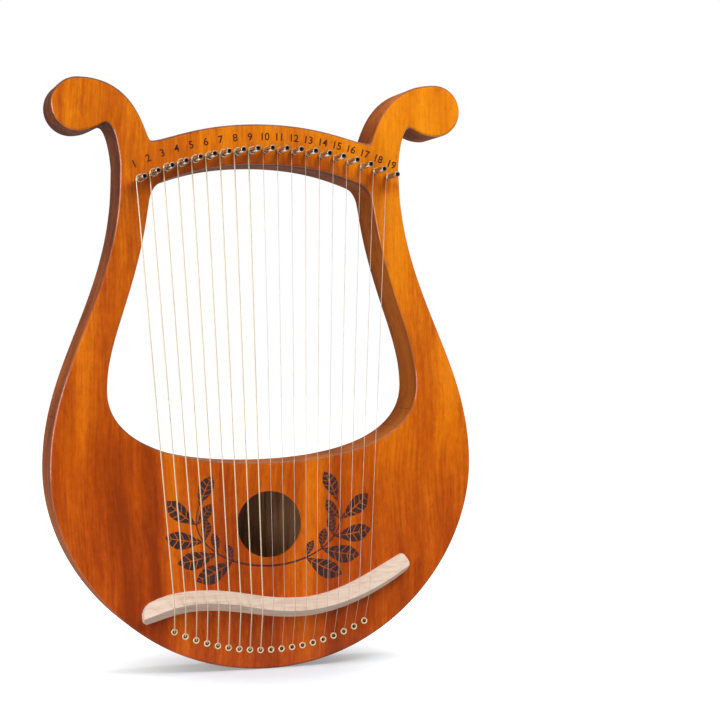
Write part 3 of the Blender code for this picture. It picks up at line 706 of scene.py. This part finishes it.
def core_piece(node):
    """A copy of a CAD solid between the boards, whose walls along the outlines follow the smooth curves."""
    piece = merged_copy(node)
    edit(piece)
    if pick_edges(along_outline):
        bpy.ops.mesh.subdivide(number_cuts=CUTS - 1)
    for vertex in bmesh.from_edit_mesh(piece.data).verts:
        lift = lift_at(vertex.co)
        if lift is not None:
            vertex.co.x += lift.x
            vertex.co.z += lift.y
    # The flat faces are taken off and closed again round the finer corners.
    pick("FACE", lambda place, normal: abs(normal.y) > FLAT)
    ends = [face for face in bmesh.from_edit_mesh(piece.data).faces if face.select]
    levels = sorted({round(vertex.co.y, 4) for face in ends for vertex in face.verts})
    bpy.ops.mesh.delete(type="FACE")
    for level in levels:
        close_level(level)
    turn_outward()
    done()
    in_place_of(node, piece, node + "_wood", SIDES, 40)
    # The flat faces are moved out over the glue line, until they meet the boards.
    edit(piece)
    for level, out in ((FRONT + BOARD + GLUE_GAP, -GLUE_GAP), (BACK - BOARD - GLUE_GAP, GLUE_GAP)):
        pick("VERT", lambda place, normal: abs(place.y - level) < SAME_DEPTH)
        bpy.ops.transform.translate(value=(0.0, out, 0.0))
    done()


OUTLINES = outline_loops("front_plate", FRONT + BOARD)
pin_holes = [round_hole(pin_middle(number), PIN_HOLE) for number in NUMBERS]
eyelet_holes = [round_hole(eyelet_place(number), EYELET_HOLE) for number in NUMBERS]
bead_holes = [round_hole(eyelet_place(number), BEAD_HOLE) for number in NUMBERS]
front = board(
    "front_plate", "front_board", FRONT + BOARD, FRONT,
    [finer(OUTLINES[2]), *pin_holes, *eyelet_holes],
)
back = board("back_plate", "back_board", BACK - BOARD, BACK, bead_holes)
give_faces(front, SIDES, lambda place, normal: abs(normal.y) < UPRIGHT)
give_faces(back, SIDES, lambda place, normal: abs(normal.y) < UPRIGHT)
give_faces(back, BARE, lambda place, normal: normal.y < -FLAT)
for node in ("tail_block", "left_rim", "right_rim", "window_rib", "left_arm", "right_arm", "crossbar"):
    core_piece(node)
in_place_of("bridge", merged_copy("bridge"), "maple_bridge", MAPLE, 20)

for node in ("left_brace", "right_brace", "back_brace"):
    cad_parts[node].data.materials.clear()
    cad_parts[node].data.materials.append(SPRUCE)


# Strings: a bead behind the back board, the wire over the bridge, and a close coil round the pin

def string_route(number, wire):
    """The string's middle line with its radius at each place."""
    node = f"string_{number:02d}"
    # Between the front board and the pin the CAD's string has one ring of corners, on the bridge's crest.
    corners = {tuple(vertex.co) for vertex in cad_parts[node].data.vertices}
    ring = {place for place in corners if place[1] < FRONT and 0.045 < place[2] < 0.2}
    crest = sum((Vector(place) for place in ring), Vector()) / len(ring)
    eyelet = eyelet_place(number)
    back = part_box(node)[1].y
    route = [
        (Vector((eyelet.x, back, eyelet.z)), BEAD_RADIUS * 0.8),
        (Vector((eyelet.x, back - 0.0003, eyelet.z)), BEAD_RADIUS),
        (Vector((eyelet.x, back - 0.0022, eyelet.z)), BEAD_RADIUS),
        (Vector((eyelet.x, back - 0.0026, eyelet.z)), wire),
        (Vector((eyelet.x, FRONT, eyelet.z)), wire),
        (Vector((eyelet.x, FRONT - 0.0006, eyelet.z + 0.0002)), wire),
        (crest + (eyelet - crest).normalized() * 0.001 + Vector((0.0, 0.0001, 0.0)), wire),
        (crest + Vector((0.0, 0.0, 0.001)), wire),
    ]
    pin = pin_middle(number)
    reach = PIN_RADIUS + wire + COIL_CLEARANCE
    drop = crest - pin
    start = math.pi - math.atan2(-drop.x, -drop.z) - math.asin(reach / math.hypot(drop.x, drop.z))
    pitch = 2 * wire + COIL_CLEARANCE
    # The coil is closer than the CAD's, and about as long.
    turns = int(COIL_STEPS * (2 * wire + CAD_COIL_GAP) / pitch)
    for step in range(turns * COIL_POINTS + 1):
        angle = start - 2 * math.pi * step / COIL_POINTS
        place = Vector((pin.x + reach * math.cos(angle), 0.0, pin.z + reach * math.sin(angle)))
        place.y = FRONT - COIL_HEIGHT - pitch * step / COIL_POINTS
        route.append((place, wire))
    last, before = route[-1][0], route[-2][0]
    route.append((last + (last - before).normalized() * 2 * wire, wire))
    return route


def string_piece(number, wire):
    """One string: a round tube along its route."""
    string = added(bpy.ops.curve.primitive_nurbs_path_add)
    curve = string.data
    curve.splines.clear()
    curve.bevel_depth = 1.0
    curve.bevel_resolution = 3
    curve.use_fill_caps = True
    route = string_route(number, wire)
    spline = curve.splines.new("POLY")
    spline.points.add(len(route) - 1)
    for point, (place, radius) in zip(spline.points, route):
        point.co = (*place, 1.0)
        point.radius = radius
    only(string)
    bpy.ops.object.convert(target="MESH")
    bpy.ops.object.shade_smooth_by_angle(angle=math.radians(50))
    return active()


for number in NUMBERS:
    wound = number <= WOUND_STRINGS
    string = string_piece(number, WOUND_RADIUS if wound else PLAIN_RADIUS)
    finished(string, f"string_wire_{number:02d}", "harp", WOUND if wound else STEEL)
    # The winding stops short of the pin: the coil and the bead are bare steel.
    middle = pin_middle(number)
    give_faces(string, COILED, lambda place, normal: off_axis(place, middle) < COIL_REACH or place.y > 0.0)
    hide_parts(f"string_{number:02d}")


# Tuning pins: turned steel rods with a chamfered head and a square socket for the tuning key

def pin_pattern():
    """One pin round the Y axis, its head towards -Y."""
    pin = added(
        bpy.ops.mesh.primitive_cylinder_add, vertices=32, radius=PIN_RADIUS, depth=PIN_FOOT - PIN_HEAD,
        location=(0.0, (PIN_HEAD + PIN_FOOT) / 2, 0.0), rotation=(math.radians(90), 0.0, 0.0),
    )
    bpy.ops.object.transform_apply(location=True, rotation=True, scale=True)
    edit(pin)
    # The head's and the foot's rims are chamfered.
    pick("FACE", lambda place, normal: abs(normal.y) > 0.9)
    bpy.ops.mesh.region_to_loop()
    bpy.ops.mesh.bevel(offset=0.0006, segments=4, affect="EDGES")
    # The square socket
    pick("FACE", lambda place, normal: normal.y < -FLAT)
    bpy.ops.mesh.inset(thickness=0.0002)
    mesh = bmesh.from_edit_mesh(pin.data)
    top = [face for face in mesh.faces if face.select][0]
    for vertex in top.verts:
        reach = max(abs(vertex.co.x), abs(vertex.co.z))
        vertex.co.x *= SOCKET_HALF / reach
        vertex.co.z *= SOCKET_HALF / reach
    bmesh.update_edit_mesh(pin.data)
    bpy.ops.mesh.extrude_region_move(TRANSFORM_OT_translate={"value": (0.0, SOCKET_DEPTH, 0.0)})
    done()
    bpy.ops.object.shade_smooth_by_angle(angle=math.radians(35))
    return pin


pin = pin_pattern()
for number in NUMBERS:
    middle = pin_middle(number)
    # The sockets stand at any angle, as after tuning.
    turn = Matrix.Rotation(math.radians(23 + 37 * number), 4, "Y")
    copy = copy_at(pin, Matrix.Translation((middle.x, 0.0, middle.z)) @ turn)
    finished(copy, f"pin_turned_{number:02d}", f"pin_{number:02d}", NICKEL)
    # The socket's walls and floor are painted nearly black, as shade in the hole.
    give_faces(
        copy, SOCKET_SHADE,
        lambda place, normal: off_axis(place, middle) < IN_SOCKET and PIN_HEAD + MERGE < place.y < 0.0,
    )
    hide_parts(f"tuning_pin_{number:02d}")
remove(pin)


# Brass eyelets in the front board

def eyelet_pattern():
    """One eyelet round the Y axis: its profile is a ring of vertices, spun once round."""
    ring = added(bpy.ops.mesh.primitive_circle_add, vertices=len(EYELET_PROFILE), radius=0.001)
    for vertex, (radius, proud) in zip(ring.data.vertices, EYELET_PROFILE):
        vertex.co = (radius / 1000, FRONT - proud / 1000, 0.0)
    edit(ring)
    bpy.ops.mesh.spin(steps=28, angle=2 * math.pi, center=(0.0, 0.0, 0.0), axis=(0.0, 1.0, 0.0))
    bpy.ops.mesh.select_all(action="SELECT")
    bpy.ops.mesh.remove_doubles(threshold=0.00001)
    turn_outward()
    done()
    bpy.ops.object.shade_smooth_by_angle(angle=math.radians(50))
    return ring


eyelet = eyelet_pattern()
for number in NUMBERS:
    place = eyelet_place(number)
    ring = copy_at(eyelet, Matrix.Translation((place.x, 0.0, place.z)))
    finished(ring, f"eyelet_{number:02d}", "harp", BRASS)
    # The throat is painted dark, as shade inside the tube.
    give_faces(ring, THROAT_SHADE, lambda at, normal: off_axis(at, place) < EYELET_THROAT)
remove(eyelet)


# String numbers, burnt into the front board over the pins

def string_numbers():
    """The numbers 1 to 19 along an arc, as thin dark figures on the board."""
    middle, centre, radius = NUMBER_ARC
    upright = Matrix.Rotation(math.radians(90), 4, "X")
    figures = []
    for number in NUMBERS:
        lean = math.radians(NUMBER_START + NUMBER_STEP * (number - MIDDLE_NUMBER))
        figure = added(bpy.ops.object.text_add)
        text = figure.data
        text.body = str(number)
        text.size = NUMBER_SIZE
        text.align_x = text.align_y = "CENTER"
        text.extrude = BURN_PROUD
        text.offset = NUMBER_BOLDER
        only(figure)
        bpy.ops.object.convert(target="MESH")
        place = (middle + radius * math.sin(lean), FRONT, centre + radius * math.cos(lean))
        figure = active()
        figure.data.transform(Matrix.Translation(place) @ Matrix.Rotation(lean, 4, "Y") @ upright)
        figures.append(figure)
    return joined(figures)


finished(string_numbers(), "string_numbers", "harp", SCORCHED)


# Laurel sprays, burnt into the front board round the sound hole

def leaf_pattern():
    """One leaf in the XZ plane along +X: patches of burnt wood between bare veins."""
    cuts = []
    for patch in range(LEAF_PATCHES):
        start = patch / LEAF_PATCHES + (VEIN / 2 if patch else 0.0)
        end = (patch + 1) / LEAF_PATCHES - (VEIN / 2 if patch < LEAF_PATCHES - 1 else 0.0)
        cuts += [start + (end - start) * step / 3 for step in range(4)]
    columns, rows = len(cuts) - 1, len(LEAF_ROWS) - 1
    leaf = added(bpy.ops.mesh.primitive_grid_add, x_subdivisions=columns, y_subdivisions=rows, size=1.0)
    width, height = 1 / columns, 1 / rows
    edit(leaf)
    # The veins between patches and the midrib stay bare.
    pick(
        "FACE",
        lambda place, normal: int((place.x + 0.5) / width) % 4 == 3 or int((place.y + 0.5) / height) == 3,
    )
    bpy.ops.mesh.delete(type="FACE")
    done()
    for vertex in leaf.data.vertices:
        along = cuts[round((vertex.co.x + 0.5) / width)]
        aside = LEAF_ROWS[round((vertex.co.y + 0.5) / height)]
        half = LEAF_WIDTH / 2 * math.sin(math.pi * along) ** 1.1 if 0 < along < 1 else 0.0
        vertex.co.x = LEAF_LENGTH * (along + 0.13 * abs(aside) * math.sin(math.pi * along))
        vertex.co.y = 0.0
        vertex.co.z = half * aside + 0.10 * LEAF_LENGTH * along**2
    return leaf


def stem_strip(points, width):
    """A strip of burnt wood along the points, thinner towards its end."""
    last = len(points) - 1
    strip = added(bpy.ops.mesh.primitive_grid_add, x_subdivisions=last, y_subdivisions=1, size=1.0)
    for vertex in strip.data.vertices:
        step = round((vertex.co.x + 0.5) * last)
        run = (points[min(step + 1, last)] - points[max(step - 1, 0)]).normalized()
        aside = Vector((-run.z, 0.0, run.x)) * (width / 2) * (1.0 - 0.6 * step / last)
        vertex.co = points[step] + (aside if vertex.co.y > 0 else -aside)
    return strip


def laurel_sprays():
    """Two mirrored sprays: a curved stem with leaves on both sides and one at its tip."""
    leaf = leaf_pattern()
    first, last = SPRAY_ANGLES
    points = []
    for step in range(SPRAY_STEPS + 1):
        angle = math.radians(first + (last - first) * step / SPRAY_STEPS)
        points.append(Vector((SPRAY_HALF_WIDTH * math.cos(angle), 0.0, SPRAY_HALF_HEIGHT * math.sin(angle))))
    reached = [0.0]
    for before, after in zip(points, points[1:]):
        reached.append(reached[-1] + (after - before).length)
    middle = Matrix.Translation((SPRAY_CENTRE[0], 0.0, SPRAY_CENTRE[1]))
    parts = []
    for hand in (1, -1):
        flip = middle @ Matrix.Scale(hand, 4, (1.0, 0.0, 0.0))
        stem = stem_strip(points, STEM_WIDTH)
        stem.data.transform(flip)
        parts.append(stem)
        for pair in range(LEAF_PAIRS + 1):
            # The pairs stand at equal steps along the stem.
            share = pair / LEAF_PAIRS
            wanted = SPRAY_FIRST_LEAF + (reached[-1] - SPRAY_FIRST_LEAF) * share
            step = min(range(len(points)), key=lambda one: abs(reached[one] - wanted))
            run = points[min(step + 1, len(points) - 1)] - points[step - 1]
            course = math.atan2(run.z, run.x)
            # Each leaf's side of the stem, its lean in degrees and its share of the full length.
            blades = ((1, 52 - 6 * share, 1.0 - 0.12 * share), (-1, 50, 0.44 + 0.20 * share))
            if pair == LEAF_PAIRS:
                blades = ((1, 4, 0.80),)
            for side, lean, length in blades:
                turn = Matrix.Rotation(side * math.radians(lean) - course, 4, "Y")
                size = Matrix.Diagonal((length, 1.0, length * side, 1.0))
                parts.append(copy_at(leaf, flip @ Matrix.Translation(points[step]) @ turn @ size))
    remove(leaf)
    sprays = joined(parts)
    sprays.data.transform(Matrix.Translation((0.0, FRONT, 0.0)))
    # Every patch is turned towards the viewer and given a little thickness.
    edit(sprays)
    bpy.ops.mesh.remove_doubles(threshold=MERGE)
    pick("FACE", lambda place, normal: normal.y > 0)
    bpy.ops.mesh.flip_normals()
    done()
    thickness = sprays.modifiers.new("thickness", "SOLIDIFY")
    thickness.thickness = 2 * BURN_PROUD
    thickness.offset = 0.0
    bpy.ops.object.modifier_apply(modifier=thickness.name)
    return sprays


finished(laurel_sprays(), "laurel_sprays", "harp", BURNT)


# Floor, lights, world and camera

floor = added(bpy.ops.mesh.primitive_plane_add, size=14.0, location=(0.0, 0.0, 0.0))
floor.name = "studio_floor"
floor.data.materials.append(PAPER)


def softbox(name, place, aim, width, height, power):
    """A rectangular area light turned towards a point."""
    data = bpy.data.lights.new(name, "AREA")
    data.shape = "RECTANGLE"
    data.size = width
    data.size_y = height
    data.energy = power
    lamp = bpy.data.objects.new(name, data)
    lamp.location = place
    lamp.rotation_euler = (Vector(aim) - Vector(place)).to_track_quat("-Z", "Y").to_euler()
    bpy.context.scene.collection.objects.link(lamp)
    return lamp


softbox("softbox_left", (-1.45, -1.45, 0.40), (0.0, 0.0, 0.24), 0.4, 0.9, 6.5)
softbox("softbox_edge", (-1.5, -0.35, 0.30), (0.0, 0.0, 0.24), 0.7, 1.0, 16.0)
top_right = softbox("softbox_top_right", (0.8, -1.1, 1.85), (0.0, 0.0, 0.30), 0.8, 0.8, 28.0)
overhead = softbox("softbox_overhead", (0.0, -0.1, 2.3), (0.0, 0.0, 0.0), 1.3, 1.3, 34.0)
# The lacquered top edges show no image of these two; the metal shows the white ceiling of the world instead.
top_right.visible_glossy = False
overhead.visible_glossy = False

world = bpy.data.worlds.new("studio")
bpy.context.scene.world = world
world.use_nodes = True
world.node_tree.nodes.clear()
ray = add_node(world, "ShaderNodeLightPath", {})
seen = maths(world, "ADD", ray["Is Camera Ray"], ray["Is Transmission Ray"], clamp=True)
# Reflections see the bright backdrop behind the harp, a white ceiling, and a dim room in front.
around = add_node(world, "ShaderNodeTexCoord", {})["Generated"]
heading = add_node(world, "ShaderNodeSeparateXYZ", {0: around})
backdrop = ranged(world, heading["Y"], -0.3, 0.3, 0.13, 1.0)
ceiling = ranged(world, heading["Z"], 0.35, 0.70, 0.0, 1.2)
mirrored = maths(world, "MAXIMUM", backdrop, ceiling)
level = chosen(world, ray["Is Glossy Ray"], 0.25, mirrored)
level = chosen(world, seen, level, 1.0)
sky = add_node(world, "ShaderNodeBackground", {"Color": (1.0, 1.0, 1.0, 1.0), "Strength": level})
add_node(world, "ShaderNodeOutputWorld", {"Surface": sky[0]})

# The picture is 720 by 720. The shift puts the lens's axis at its column 256, as in the photograph.
lens = bpy.data.cameras.new("camera")
lens.sensor_fit = "HORIZONTAL"
lens.sensor_width = 36.0
lens.lens = 87.5
lens.shift_x = (360 - 256) / 720
camera = bpy.data.objects.new("camera", lens)
camera.location = (-0.4393, -1.5507, 0.3023)
camera.rotation_euler = (math.radians(89.3199), math.radians(0.8199), math.radians(-15.6097))
bpy.context.scene.collection.objects.link(camera)
bpy.context.scene.camera = camera
bpy.context.scene.view_settings.view_transform = "Standard"
